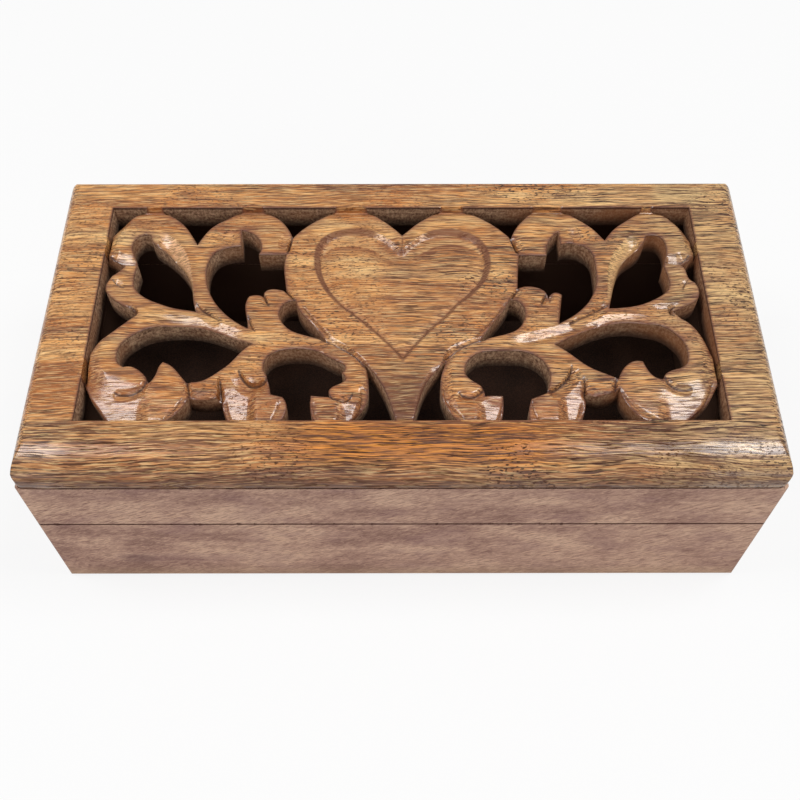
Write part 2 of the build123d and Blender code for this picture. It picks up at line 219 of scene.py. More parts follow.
def fall(points, line, side_of, slope, most, reach):
    """A slope away from a ridge, on one side of it."""
    gap, side, along = near_line(points, line)
    length = np.linalg.norm(np.diff(line, axis=0), axis=1).sum()
    taper = min(FALL_TAPER, length / 3)
    on = (side * side_of > 0) & (gap < reach)
    back = ease((reach - gap) / min(FALL_RETURN, reach / 2))
    return np.where(on, -np.minimum(gap * slope, most) * back * ends(along, length, taper), 0.0)


def along_curve(points, pitch=0.6):
    return smooth_run(np.array(points, dtype=float), pitch)


# The heart: the edge of its sunk field, and the foot of the slope that runs down from that edge
FIELD_EDGE = [(0, 30), (-3, 33.5), (-7, 37), (-12.5, 39.3), (-18.5, 39.8), (-24.5, 38.2), (-28.5, 35.2),
              (-30.6, 30.5), (-31, 25), (-30.3, 20), (-28.6, 15), (-25.9, 10), (-21.9, 5), (-16.4, 0),
              (-11.4, -5), (-6.6, -10), (-2.3, -15), (0.5, -19)]
FIELD_EDGE_RIGHT = [(3.1, -15), (7.1, -10), (11.2, -5), (16.3, 0), (20.2, 5), (25.5, 10), (29.1, 15),
                    (31.3, 20), (31.8, 25), (31, 30), (28.7, 34.5), (24.5, 37.6), (19, 39.5), (13, 39.2),
                    (7.5, 37), (3.5, 33.5), (0, 30)]
FIELD_FOOT = [(0, 25), (-2, 25.3), (-5, 27), (-8, 29.3), (-11, 31.3), (-15, 32.6), (-20, 32.8),
              (-25, 31.8), (-27.7, 29), (-28.9, 25), (-28.6, 20), (-26.9, 15), (-24.2, 10),
              (-20.2, 5), (-14.6, 0), (-9.6, -5), (-5, -10), (-0.9, -15), (0.6, -17)]
FIELD_FOOT_RIGHT = [(1.6, -15), (5.6, -10), (9.5, -5), (14.4, 0), (18.4, 5), (23.2, 10), (27.3, 15),
                    (29.3, 20), (29.8, 25), (28.8, 28.5), (26.5, 31), (22, 33.3), (17, 33.8), (12, 32.6),
                    (8, 30), (5, 27.8), (2.5, 26), (0, 25)]
FIELD_DEPTH = 1.25
FIELD_DEPTH_TOP = 0.5
FIELD_SINK = 0.75
FIELD_WALL = 2.0

# Knife cuts: line, depth, width of the flank on its left and on its right
CUTS = (
    # left great scroll: the curl's rim, its facets, and the creases of the bridge beside it
    ([(-85, -24.5), (-85.2, -27), (-86.5, -29.5), (-89, -31), (-92, -31.3), (-95.5, -30.5)], 1.2, 2.2, 1.3),
    ([(-72.6, -33.5), (-74.6, -37.6), (-78.5, -41.6)], 0.5, 1.2, 0.6),
    ([(-71.9, -26), (-70.8, -30), (-70, -34)], 1.3, 1.3, 1.2),
    ([(-60.6, -26.5), (-60.4, -30), (-59.8, -33.5)], 1.1, 1.0, 1.2),
    # left side leaf
    ([(-104.8, 27), (-101, 24.8), (-97.5, 23.7), (-94, 23.8)], 1.8, 4.0, 1.0),
    ([(-102.5, 16.3), (-100.5, 14.3), (-98, 12.7)], 0.9, 2.0, 0.5),
    ([(-95.2, 4.4), (-93.2, 3.4), (-92.3, 2), (-92.6, 0.2)], 1.3, 0.9, 0.7),
    # left stems
    ([(-71.8, 6), (-69.8, 3.3), (-66, 0.4), (-62, -2)], 0.9, 0.6, 3.0),
    ([(-53.2, 0.5), (-51.8, -4), (-50.3, -6.5)], 0.9, 0.7, 1.4),
    # left inner leaf, and the places where arch and leaf touch the heart
    ([(-48.8, 10.2), (-47.6, 7.5), (-46.4, 4.5)], 1.1, 0.6, 1.6),
    ([(-39.7, 36), (-40.4, 33), (-41, 28.5)], 1.5, 0.9, 0.8),
    ([(-41.5, 11.8), (-39, 9.2), (-37.6, 7)], 1.1, 0.8, 0.8),
    # left lower scroll and its knobs
    ([(-28, -9.6), (-24, -11.3), (-20, -13.5), (-16.5, -16), (-13.8, -18.8), (-12, -21.8)], 1.0, 1.5, 0.8),
    ([(-54.6, -22.8), (-52.7, -26), (-50, -28), (-47.5, -28), (-44.8, -25.4)], 1.8, 0.8, 3.6),
    ([(-24.3, -32.4), (-21.5, -34), (-18.5, -33.9), (-16.3, -31.8)], 1.2, 1.8, 0.5),
    ([(-29.2, -34), (-28.9, -38), (-27.6, -41.5)], 0.35, 1.0, 0.5),
    ([(-13.9, -29), (-13.3, -33.5), (-14.4, -37.5), (-16.6, -41)], 0.4, 1.2, 0.5),
    ([(-40.8, -33.5), (-41.2, -37.5), (-43.2, -41.5)], 0.45, 1.2, 0.6),
    ([(-58.5, -32), (-57.5, -37), (-54.8, -42)], 0.3, 0.5, 1.0),
    # right great scroll
    ([(88, -25.4), (88.8, -27.6), (90.5, -29.2), (93, -30), (96.5, -29.6)], 1.2, 1.2, 2.2),
    ([(72.8, -29.5), (74.6, -34.2), (78, -38), (82, -40.6), (85.5, -42)], 0.5, 0.6, 1.2),
    ([(103.6, -27.5), (101.3, -33), (98, -37.5), (93.5, -41.3)], 0.6, 1.0, 0.5),
    ([(71.9, -26), (71, -29.5), (71.2, -33.5)], 1.2, 1.0, 1.3),
    ([(60.8, -25.5), (61, -29), (60.8, -33)], 1.0, 1.2, 1.0),
    # right side leaf
    ([(94.3, 24.8), (97, 24.1), (99.5, 24), (103.6, 27)], 1.8, 4.0, 1.0),
    ([(101.5, 15.5), (100, 13.3), (99.3, 11.5)], 0.8, 0.5, 1.8),
    ([(95.5, 4.2), (94, 3.2), (93.5, 1.6), (94.6, 0)], 1.3, 0.7, 0.9),
    # right stems
    ([(72, 4.6), (69, 3), (66, 1), (62, -1), (58, -3.4)], 0.9, 3.0, 0.7),
    # right inner leaf and touching places
    ([(51.2, 9.8), (50, 7.5), (48.9, 4.8)], 1.1, 1.6, 0.6),
    ([(53.2, 9.5), (52.3, 7.5), (51.8, 5.5)], 0.6, 1.2, 1.2),
    ([(39.9, 35.6), (40.8, 33), (42.2, 28)], 1.5, 0.8, 0.9),
    ([(41.5, 11.6), (39.6, 9.4), (38.6, 6.8)], 1.1, 0.8, 0.8),
    # right lower scroll and its knobs
    ([(29.5, -9.6), (24.5, -11), (20, -13.4), (16.6, -16), (14, -18.4)], 1.0, 0.8, 1.5),
    ([(57.3, -20.8), (56.4, -24), (54.4, -27), (51.6, -29.5), (48.2, -31)], 1.8, 3.6, 0.8),
    ([(27.8, -28.8), (26.2, -31.3), (23.6, -32.9), (21, -32.7), (18.8, -31.4)], 1.4, 2.6, 1.1),
    ([(43.7, -33.5), (43.2, -37), (44.8, -41.5)], 0.4, 0.5, 1.2),
    ([(59.9, -33.5), (58.7, -38), (56.8, -42)], 0.35, 1.0, 0.5),
    ([(33.2, -34), (32.6, -38), (30.6, -42)], 0.35, 1.0, 0.5),
    ([(14, -30), (15, -34.5), (17.8, -38.6), (20.8, -41.5)], 0.45, 0.5, 1.2),
    # the bevels down the sides of the heart
    ([(-34.6, 4.6), (-29.6, -2.4), (-24.6, -8.6)], 0.5, 0.5, 0.9),
    ([(36.6, 6), (30.6, -3), (24.7, -9.3)], 0.5, 0.9, 0.5),
    ([(0.3, 37.2), (0.4, 33.5), (0, 30.3)], 0.5, 1.8, 1.5),
    # where the fretwork meets the border
    ([(-106.4, 26), (-106.4, 38)], 4.0, 0.55, 0.9),
    ([(-106.4, -28), (-106.4, -15)], 4.0, 0.55, 0.9),
    ([(106.4, 26), (106.4, 40)], 4.0, 0.9, 0.55),
    ([(106.4, -28), (106.4, -14)], 4.0, 0.9, 0.55),
    ([(-107, 48.6), (107, 48.6)], 0.8, 1.4, 1.2),
)

# Ridges of the outer arches, above the pale face that falls into the leaf
LEFT_ARCH_RIDGE = [(-91, 37.5), (-86.8, 38.6), (-83.5, 36.3), (-80.3, 33), (-77.6, 29), (-75.6, 24),
                   (-74.2, 18), (-73, 12), (-71.8, 6)]
RIGHT_ARCH_RIDGE = [(88.6, 37.3), (84.5, 37.2), (81.4, 35), (78.4, 31.5), (75.7, 27.5), (73.8, 22),
                    (72.9, 16), (72.1, 10), (70.8, 5.5)]

# Falls: ridge line, side that falls (left is +1), steepness, most drop, reach
FALLS = (
    ([(-95, -2), (-99.5, -7), (-102, -12), (-102.3, -16), (-101, -20.5), (-98.5, -25), (-95.5, -29)],
     -1, 0.25, 2.2, 9),
    ([(-71, -30), (-66, -30.6), (-61, -29.6)], -1, 0.9, 1.8, 4),
    ([(-90, 1), (-80, 1), (-72, 0), (-64, -2), (-56, -5.3), (-49, -8)], -1, 0.38, 1.6, 6),
    (LEFT_ARCH_RIDGE, -1, 0.55, 2.4, 7),
    ([(-97, 44), (-101.3, 40), (-103.2, 35), (-103, 30), (-101.5, 27)], -1, 0.6, 1.8, 5),
    ([(-69, 35), (-65.6, 39), (-62, 39.6), (-58.6, 38.8)], -1, 0.3, 1.0, 9),
    ([(-42, 40), (-44.5, 35.5), (-44.8, 31.5), (-43.2, 28)], 1, 0.35, 1.2, 4.5),
    ([(-34, 2.5), (-28, -3.4), (-24, -7.8), (-19.8, -11.4), (-15.3, -15.2), (-11.8, -19.8), (-8.3, -26),
      (-5.5, -33), (-3.3, -40)], -1, 0.32, 0.9, 2.8),
    ([(-27, -15.3), (-22.5, -18), (-19.5, -21), (-18.3, -24.5)], -1, 0.5, 1.2, 3),
    ([(-13, -20.5), (-12.6, -25), (-13.4, -30), (-15, -35), (-18.3, -41)], 1, 0.45, 1.4, 3.5),
    ([(96, -2), (99.6, -7), (101.3, -13), (101.3, -19), (99.8, -24), (97, -28.5)], 1, 0.34, 2.2, 8),
    ([(61, -28), (65, -30), (70.4, -31.5)], -1, 0.9, 1.6, 4),
    ([(33, -9.6), (40, -8), (48, -5.8), (56, -3.3), (64, -0.6), (72, 0.6), (82, 0.8), (90, -0.6)],
     -1, 0.42, 1.8, 6),
    (RIGHT_ARCH_RIDGE, 1, 0.55, 2.4, 7),
    ([(97, 45), (100.5, 41.5), (102.3, 37), (102.5, 31), (101.5, 27)], 1, 0.6, 1.8, 5),
    ([(86, 4.6), (90, 5.3), (94, 5.6), (98, 6.8)], -1, 0.5, 1.0, 3),
    ([(58, 37.8), (60.2, 40), (64, 40.6), (67.3, 38.4), (70.5, 34)], -1, 0.3, 1.0, 8),
    ([(41.8, 38.5), (43.5, 34.5), (44.8, 30.8), (45.4, 28)], -1, 0.42, 1.3, 4.5),
    ([(54.6, 10.5), (54.4, 5), (53.6, 0), (52.6, -3)], 1, 0.5, 1.2, 3),
    ([(34.5, 3), (30.5, -2), (26.8, -6.6), (24, -9.6)], 1, 0.32, 0.8, 2.4),
    ([(12.8, -18), (10, -21.6), (7.6, -26), (5.2, -32), (3.4, -40)], 1, 0.5, 1.2, 2.4),
    ([(24, -12.6), (20, -15.2), (17.6, -18.6), (16.9, -23), (17, -28), (17.6, -33), (19, -37.5),
      (21.5, -41.5)],
     -1, 0.5, 1.8, 4),
)

# Noses of the scrolls that fall towards the front border: from x, to x, where the fall starts,
# its steepness at each end, and where and how softly the one turns into the other
NOSES = (
    (-106, -71.2, -28.0, -0.4, 0.29, 0.13, -85, 6, -0.01),
    (-61, -37, -23.5, 0, 0.29, 0.12, -49.5, 4, -0.13),
    (-30.5, -10, -29.5, 0, 0.08, 0.26, -20, 5, 0.17),
    (12, 35.5, -31, 0, 0.08, 0.28, 26, 4, 0.12),
    (41, 61.3, -26.5, 0, 0.1, 0.28, 53, 4, 0.1),
    (71.5, 106, -29, 0.25, 0.12, 0.27, 86, 6, 0.02),
)
ARCH_START = 39.0
ARCH_RATE = 0.13
NOSE_START = 2.0
FALL_RETURN = 3.0
BAND_BLUR = 0.7
BORDER_DIP = 0.8
BORDER_DIP_WIDTH = 1.2
TOOL_MARKS = 0.1
CUT_SHADE_REACH = 0.9
FALL_TAPER = 12.0
ARCH_SOFT = 3.0
# the heart's upper part: where it starts, how soon it is whole; how far the field's rise reaches
UPPER_START = 14.0
UPPER_REACH = 14.0
RISE_REACH = 3.2
RISE_REACH_TOP = 4.5
# beside the outer arches' ridges: the face with its painted highlight and the painted shade above it, their
# widths and strengths
ARCH_FACE = 7.0
ARCH_FACE_HIGHLIGHT = 0.8
ARCH_SHADE = 3.0
ARCH_SHADE_DARK = 0.32


def heart_lines():
    """The edge of the heart's sunk field and the foot of the slope inside it, each all the way round."""
    edge = np.concatenate([along_curve(FIELD_EDGE), along_curve([FIELD_EDGE[-1]] + FIELD_EDGE_RIGHT)[1:]])
    foot = np.concatenate([along_curve(FIELD_FOOT), along_curve([FIELD_FOOT[-1]] + FIELD_FOOT_RIGHT)[1:]])
    return edge, foot


def heart_field(points):
    """The heart's sunk field: a slope down from its edge, then a gentle rise to its middle."""
    edge, foot = heart_lines()
    to_edge = near_line(points, edge)[0]
    to_foot = near_line(points, foot)[0]
    upper = ease((points[:, 1] - UPPER_START) / UPPER_REACH)
    depth = FIELD_DEPTH + FIELD_DEPTH_TOP * upper
    width = to_edge + to_foot + 1e-6
    wall = np.minimum(width, FIELD_WALL)
    slope = FIELD_DEPTH * np.clip(to_edge / wall, 0, 1)
    slope += (depth - FIELD_DEPTH) * np.clip((to_edge - wall) / (width - wall + 1e-6), 0, 1)
    rise = np.clip(1 - to_foot / (RISE_REACH + RISE_REACH_TOP * upper), 0, 1) ** 1.4
    sunk = FIELD_SINK + (depth - FIELD_SINK) * rise
    in_edge = inside(points, edge)
    in_foot = inside(points, foot)
    return -np.where(in_foot, sunk, np.where(in_edge, slope, 0.0))


def nose(points, first, last, start, slant, rate_first, rate_last, turn, soft, lean):
    """The fall of a scroll's nose towards the front border, leaning to one side past its turn."""
    x = points[:, 0]
    run = np.clip(start + slant * (x - turn) - points[:, 1], 0, None)
    rate = rate_first + (rate_last - rate_first) * ease((x - turn) / soft + 0.5)
    beyond = np.clip((x - turn) * np.sign(lean) + soft / 3, 0, None)
    within = (x > first) & (x < last)
    return np.where(within, -rate * run * run / (run + NOSE_START) - abs(lean) * beyond * ease(run / 6), 0.0)


def arch_dip(points):
    """The fall of the arch tops towards the back border."""
    run = np.clip(points[:, 1] - ARCH_START, 0, None)
    return -ARCH_RATE * run * run / (run + ARCH_SOFT)


def stain_and_shade_in_cuts(points):
    """How close a point is to a cut: stain there, with painted shade for the cut's shadow."""
    depth = np.zeros(len(points))
    for line, cut, _, _ in CUTS[:-1]:
        close = 1 - near_line(points, along_curve(line))[0] / CUT_SHADE_REACH
        depth = np.maximum(depth, close * min(1.0, 0.4 + cut / 2))
    return np.clip(depth, 0, 1)


def heart_stain_and_painted_light(points):
    """Dark stain on the wall around the heart's field, lightened as painted light near the top notch, with
    painted shade in the lobes; below 0 a painted highlight on the pale slope inside its top.
    """
    edge, foot = heart_lines()
    to_edge = near_line(points, edge)[0]
    to_foot = near_line(points, foot)[0]
    in_edge = inside(points, edge)
    in_foot = inside(points, foot)
    side = np.abs(points[:, 0])
    beyond = np.where(in_foot, to_foot, np.where(in_edge, 0.0, to_edge))
    wall = ease(1 - beyond / BAND_BLUR) * ease((FIELD_WALL + 0.4 - to_edge) / 0.8)
    wall = np.where(in_edge, wall, ease(1 - to_edge / BAND_BLUR))
    lit = ease((points[:, 1] - 28) / 4) * ease((11 - side) / 4)
    fresh = 0.3 * ease((14 - points[:, 1]) / 10)
    shade = ease(1 - to_foot / 6) * in_foot * ease((points[:, 1] - 20) / 9) * ease((26 - side) / 6)
    shade = shade * (0.2 + 0.3 * ease((side - 4) / 6))
    dark = np.maximum(wall * (1 - 0.8 * lit) * (1 - fresh), shade)
    painted_highlight = ease(to_edge / 2.4) * ease(1.3 - to_foot / 3.0) * ease((points[:, 1] - 24) / 6) * (1 - shade)
    return dark - 0.45 * painted_highlight * in_edge * ~in_foot


def arch_painted_light(points):
    """Painted shade above the ridges of the outer arches, and below 0 a painted highlight on the pale cut
    faces beside them.
    """
    shades = np.zeros(len(points))
    for ridge, side_of in ((LEFT_ARCH_RIDGE, -1), (RIGHT_ARCH_RIDGE, 1)):
        gap, side, along = near_line(points, along_curve(ridge))
        face = ease((ARCH_FACE - gap) / 2.5) * ease(gap / 0.7) * (side * side_of > 0)
        above = ease(1 - gap / ARCH_SHADE) * (side * side_of < 0)
        strength = ARCH_SHADE_DARK * above - ARCH_FACE_HIGHLIGHT * face
        shades += ease(np.minimum(along, 1 - along) * 7) * strength
    return shades


def carving_lines():
    """Every line that the knife follows, for the mesh to follow too."""
    x0, y0, x1, y1 = OPENING
    corners = ((x0, y0), (x1, y0), (x1, y1), (x0, y1), (x0, y0))
    lines = [shape[0] for shape in CUTS + FALLS]
    lines += zip(corners, corners[1:])
    lines += [FIELD_EDGE, FIELD_EDGE_RIGHT, FIELD_FOOT, FIELD_FOOT_RIGHT]
    return [along_curve(line) for line in lines]


def carve(points):
    """How far the carved surface lies below the plain top, in millimetres."""
    drop = heart_field(points)
    for line, depth, left, right in CUTS:
        drop = drop + groove(points, along_curve(line), depth, left, right)
    for line, side_of, rate, most, reach in FALLS:
        drop = drop + fall(points, along_curve(line), side_of, rate, most, reach)
    for shape in NOSES:
        drop = drop + nose(points, *shape)
    drop = drop + arch_dip(points)
    x0, y0, x1, y1 = OPENING
    to_border = np.minimum.reduce([points[:, 0] - x0, x1 - points[:, 0],
                                   y1 - points[:, 1], points[:, 1] - y0])
    drop = drop - BORDER_DIP * (1 - ease(to_border / BORDER_DIP_WIDTH))
    marks = np.array([noise.noise(Vector((x * 0.22, y * 0.22, 3.0))) for x, y in points])
    return drop + TOOL_MARKS * (marks - 0.6)


# ---------------------------------------------------------------- the board

def rim_ring(open_share, pitch):
    """A rounded rectangle inside the rim: the whole rim at 0, the edge of the flat top at 1."""
    radius = CORNER + CORNER_GROWTH * open_share
    x = HALF_LENGTH - SIDE_ROUND * open_share - radius
    low, high = FRONT_ROUND * open_share + radius - HALF_DEPTH, HALF_DEPTH - BACK_ROUND * open_share - radius
    long_count, short_count = round(2 * HALF_LENGTH / pitch), round(2 * HALF_DEPTH / pitch)
    ring = []
    middles = ((x, high), (-x, high), (-x, low), (x, low))
    for turn, middle in enumerate(middles):
        sweep = math.pi / 2 * (turn + np.linspace(0, 1, 7))
        arc = np.array(middle) + radius * np.stack([np.cos(sweep), np.sin(sweep)], axis=1)
        last = math.pi / 2 * (turn + 1)
        end = np.array(middles[(turn + 1) % 4]) + radius * np.array([math.cos(last), math.sin(last)])
        count = long_count if turn % 2 == 0 else short_count
        steps = np.arange(1, count)[:, None] / count
        ring += [arc, arc[-1] + (end - arc[-1]) * steps]
    return np.concatenate(ring)


def rim_height(points):
    """Height of the rounded-over rim."""
    height = np.full(len(points), BOARD_TOP)
    from_edges = ((points[:, 1] + HALF_DEPTH, FRONT_ROUND, FRONT_DROP),
                  (HALF_DEPTH - points[:, 1], BACK_ROUND, BACK_ROUND),
                  (HALF_LENGTH - np.abs(points[:, 0]), SIDE_ROUND, SIDE_ROUND))
    for gap, reach, drop in from_edges:
        lean = np.clip(1 - gap / reach, 0, 1)
        height = np.minimum(height, BOARD_TOP - drop * (1 - np.sqrt(1 - lean**2)))
    return height


def hex_grid(x0, y0, x1, y1, pitch, rng):
    """Points in staggered rows, each a little off its place."""
    rows = int((y1 - y0) / (pitch * ROW_SHARE))
    cols = int((x1 - x0) / pitch)
    j, i = np.mgrid[0:rows + 1, 0:cols + 1]
    grid = np.stack([x0 + (i + 0.5 * (j % 2)) * pitch, y0 + j * pitch * ROW_SHARE], axis=-1).reshape(-1, 2)
    return grid + rng.uniform(-OFF_PLACE, OFF_PLACE, grid.shape) * pitch


def tree_of(points):
    tree = KDTree(len(points))
    for i, (x, y) in enumerate(points):
        tree.insert((x, y, 0), i)
    tree.balance()
    return tree


def gaps_to(points, tree):
    """The distance from each point to the nearest one in a tree, and which one that is."""
    found = [tree.find((x, y, 0)) for x, y in points]
    return np.array([f[2] for f in found]), np.array([f[1] for f in found])


def thinned(points, apart):
    """The same points without those that crowd an earlier one."""
    taken = {}
    kept = []
    for x, y in points:
        cell = (int(x // apart), int(y // apart))
        around = [taken.get((cell[0] + i, cell[1] + j)) for i in (-1, 0, 1) for j in (-1, 0, 1)]
        if all(spot is None or math.dist(spot, (x, y)) > apart for spot in around):
            taken[cell] = (x, y)
            kept.append((x, y))
    return np.array(kept)


def on_opening(points, slack=0.2):
    """Which points lie on the straight edges of the border's opening."""
    x0, y0, x1, y1 = OPENING
    x, y = points[:, 0], points[:, 1]
    return ((np.abs(x - x0) < slack) | (np.abs(x - x1) < slack)
            | (np.abs(y - y0) < slack) | (np.abs(y - y1) < slack))


def in_opening(points, margin=0.0):
    x0, y0, x1, y1 = OPENING
    x, y = points[:, 0], points[:, 1]
    return (x > x0 - margin) & (x < x1 + margin) & (y > y0 - margin) & (y < y1 + margin)


def in_cut_outs(points, holes, asked):
    """Which of the asked points lie in a cut-out."""
    found = np.zeros(len(points), bool)
    for loop in holes:
        near = ((points > loop.min(axis=0)) & (points < loop.max(axis=0))).all(axis=1)
        near = np.nonzero(near & asked)[0]
        found[near] |= inside(points[near], loop)
    return found


def loop_edges(loops):
    """The edges of closed outlines whose points are numbered one after another."""
    edges = []
    start = 0
    for loop in loops:
        edges += [(start + i, start + (i + 1) % len(loop)) for i in range(len(loop))]
        start += len(loop)
    return edges


def to_the_right(ahead):
    """Unit steps to the right of each direction."""
    return np.stack([ahead[:, 1], -ahead[:, 0]], axis=1) / np.linalg.norm(ahead, axis=1)[:, None]


def edge_rows(holes, edge_tree):
    """Rows of points on the wood beside each cut-out, for its rounded edge."""
    rows = []
    reach = []
    for loop in holes:
        out = to_the_right(np.roll(loop, -1, axis=0) - np.roll(loop, 1, axis=0))
        for away in EDGE_ROWS:
            rows.append(loop + out * away)
            reach.append(np.full(len(loop), away))
    rows = np.concatenate(rows)
    return rows[gaps_to(rows, edge_tree)[0] > np.concatenate(reach) * 0.93]


def cut_rows(edge_tree):
    """Rows of points along every line that the knife follows."""
    lines = carving_lines()
    line_tree = tree_of(np.concatenate(lines))
    kept = []
    for line in lines:
        out = to_the_right(np.gradient(line, axis=0))
        for away in CUT_ROWS:
            row = line + out * away
            clear = gaps_to(row, edge_tree)[0] > CUT_FROM_EDGE
            own = gaps_to(row, line_tree)[0] >= abs(away) * 0.9 - 0.02
            kept.append(row[clear & own])
    return thinned(np.concatenate(kept), CUT_APART)


def fret_grid(edge_tree, rng):
    """Fine points over the fretwork."""
    x0, y0, x1, y1 = OPENING
    grid = hex_grid(x0 - FINE_REACH, y0 - FINE_REACH, x1 + FINE_REACH, y1 + FINE_REACH, GRID_PITCH, rng)
    return grid[gaps_to(grid, edge_tree)[0] > GRID_FROM_EDGE]


def border_grid(rng):
    """Coarse points over the plain border."""
    grid = hex_grid(-HALF_LENGTH, -HALF_DEPTH, HALF_LENGTH, HALF_DEPTH, BORDER_PITCH, rng)
    x, y = grid[:, 0], grid[:, 1]
    flat = ((np.abs(x) < HALF_LENGTH - SIDE_ROUND - RIM_CLEAR) & (y < HALF_DEPTH - BACK_ROUND - RIM_CLEAR)
            & (y > FRONT_ROUND + RIM_CLEAR - HALF_DEPTH))
    return grid[flat & ~in_opening(grid, COARSE_START)]


def flat_top(inner_ring, holes, edge_tree):
    """The top as flat triangles: its points, its faces, and which point each outline point became."""
    rng = np.random.default_rng(7)
    rows = edge_rows(holes, edge_tree)
    grid = fret_grid(edge_tree, rng)
    border = border_grid(rng)
    cuts = cut_rows(edge_tree)
    cut_tree = tree_of(cuts)
    rows = rows[gaps_to(rows, cut_tree)[0] > ROW_FROM_CUT]
    grid = grid[gaps_to(grid, cut_tree)[0] > GRID_FROM_CUT]
    loose = np.concatenate([rows, cuts, grid])
    loose = loose[~in_cut_outs(loose, holes, True)]

    flat = np.concatenate([inner_ring, *holes, loose, border])
    edges = loop_edges([inner_ring, *holes])
    spots, _, faces, origin, _, _ = delaunay_2d_cdt([Vector(p) for p in flat], edges, [], 0, WELD)
    spots = np.array([tuple(v) for v in spots])
    faces = np.array(faces)
    hole_points = range(len(inner_ring), len(inner_ring) + sum(len(loop) for loop in holes))
    on_hole = np.zeros(len(spots), bool)
    became = {}
    for i, sources in enumerate(origin):
        for source in sources:
            became[source] = i
            on_hole[i] = source in hole_points
    gone = in_cut_outs(spots[faces].mean(axis=1), holes, on_hole[faces].any(axis=1))
    return spots, faces[~gone], became


def rim_levels():
    """Rings down the rounded-over rim and the plain edge below it, which is chipped at the bottom."""
    levels = []
    for turn in np.radians(np.linspace(0, 90, ROUND_STEPS))[1:]:
        ring = rim_ring(1 - np.sin(turn), RIM_PITCH)
        levels.append(np.column_stack([ring, rim_height(ring)]))
    rim = levels[-1]
    for share in RIM_DROPS:
        rough = [0.35 + noise.noise(Vector((x * 0.35, y * 0.35, 5.0 + share))) for x, y, _ in rim]
        chip = share**3 * LOWER_EDGE_CHIPS * np.clip(rough, 0, None)
        ring = rim[:, :2] * (1 - chip[:, None] / np.array([HALF_LENGTH, HALF_DEPTH]))
        levels.append(np.column_stack([ring, rim[:, 2] + (BOARD_UNDER - rim[:, 2]) * share]))
    return levels


class Skin:
    """The board's skin, put together from its top downwards."""

    def __init__(self, points, faces):
        self.levels = [points]
        self.count = len(points)
        self.faces = [tuple(face) for face in faces.tolist()]
        self.finishes = [VARNISHED] * len(self.faces)

    def skirt(self, row, levels, finish):
        """Rows of points below an edge, joined to it; gives the lowest row."""
        for level in levels:
            lower = list(range(self.count, self.count + len(level)))
            self.levels.append(level)
            self.count += len(level)
            for i in range(len(row)):
                j = (i + 1) % len(row)
                self.faces.append((row[i], lower[i], lower[j], row[j]))
                self.finishes.append(finish)
            row = lower
        return row

    def close(self, rows, holes):
        """The flat underside between the lowest rows, the rim's first and then each cut-out's."""
        ids = np.concatenate(rows)
        flat = np.concatenate(self.levels)[ids][:, :2]
        _, _, faces, origin, _, _ = delaunay_2d_cdt([Vector(p) for p in flat], loop_edges(rows), [], 0, WELD)
        faces = np.array([sources[0] for sources in origin])[np.array(faces)]
        on_hole = faces >= len(rows[0])
        gone = in_cut_outs(flat[faces].mean(axis=1), holes, on_hole.any(axis=1))
        for a, b, c in faces[~gone].tolist():
            self.faces.append((ids[c], ids[b], ids[a]))
            self.finishes.append(SAWN)

    def mesh(self, name):
        made = bpy.data.meshes.new(name)
        points = (np.concatenate(self.levels) * MM).tolist()
        made.from_pydata(points, [], [tuple(int(i) for i in face) for face in self.faces])
        made.polygons.foreach_set("material_index", self.finishes)
        made.polygons.foreach_set("use_smooth", [True] * len(self.faces))
        made.set_sharp_from_angle(angle=CREASE_TURN)
        return made


def board_marks(spots, gap, carved, fret):
    """What the finish needs to know at each point of the top, by the name that it reads."""
    # dark stain on the carved edges, with painted shade where they round down into the cut-outs
    narrow = np.clip(1 - gap / np.where(fret, EDGE_SHADE_REACH, BORDER_EDGE_SHADE_REACH), 0, 1)
    wide = np.clip(1 - gap / WIDE_EDGE_SHADE_REACH, 0, 1) * fret
    return {
        # painted shade in the hollows; stain with painted shade at the edges and in the cuts; stain, painted
        # shade and painted highlight round the heart's field and beside the arches
        "hollow": np.clip(-carved / DEEP_HOLLOW, 0, 1) * fret,
        "worn": np.where(fret, narrow * 0.6 + wide * 0.4, narrow),
        "crease": stain_and_shade_in_cuts(spots) * fret,
        "band": (heart_stain_and_painted_light(spots) + arch_painted_light(spots)) * fret,
    }


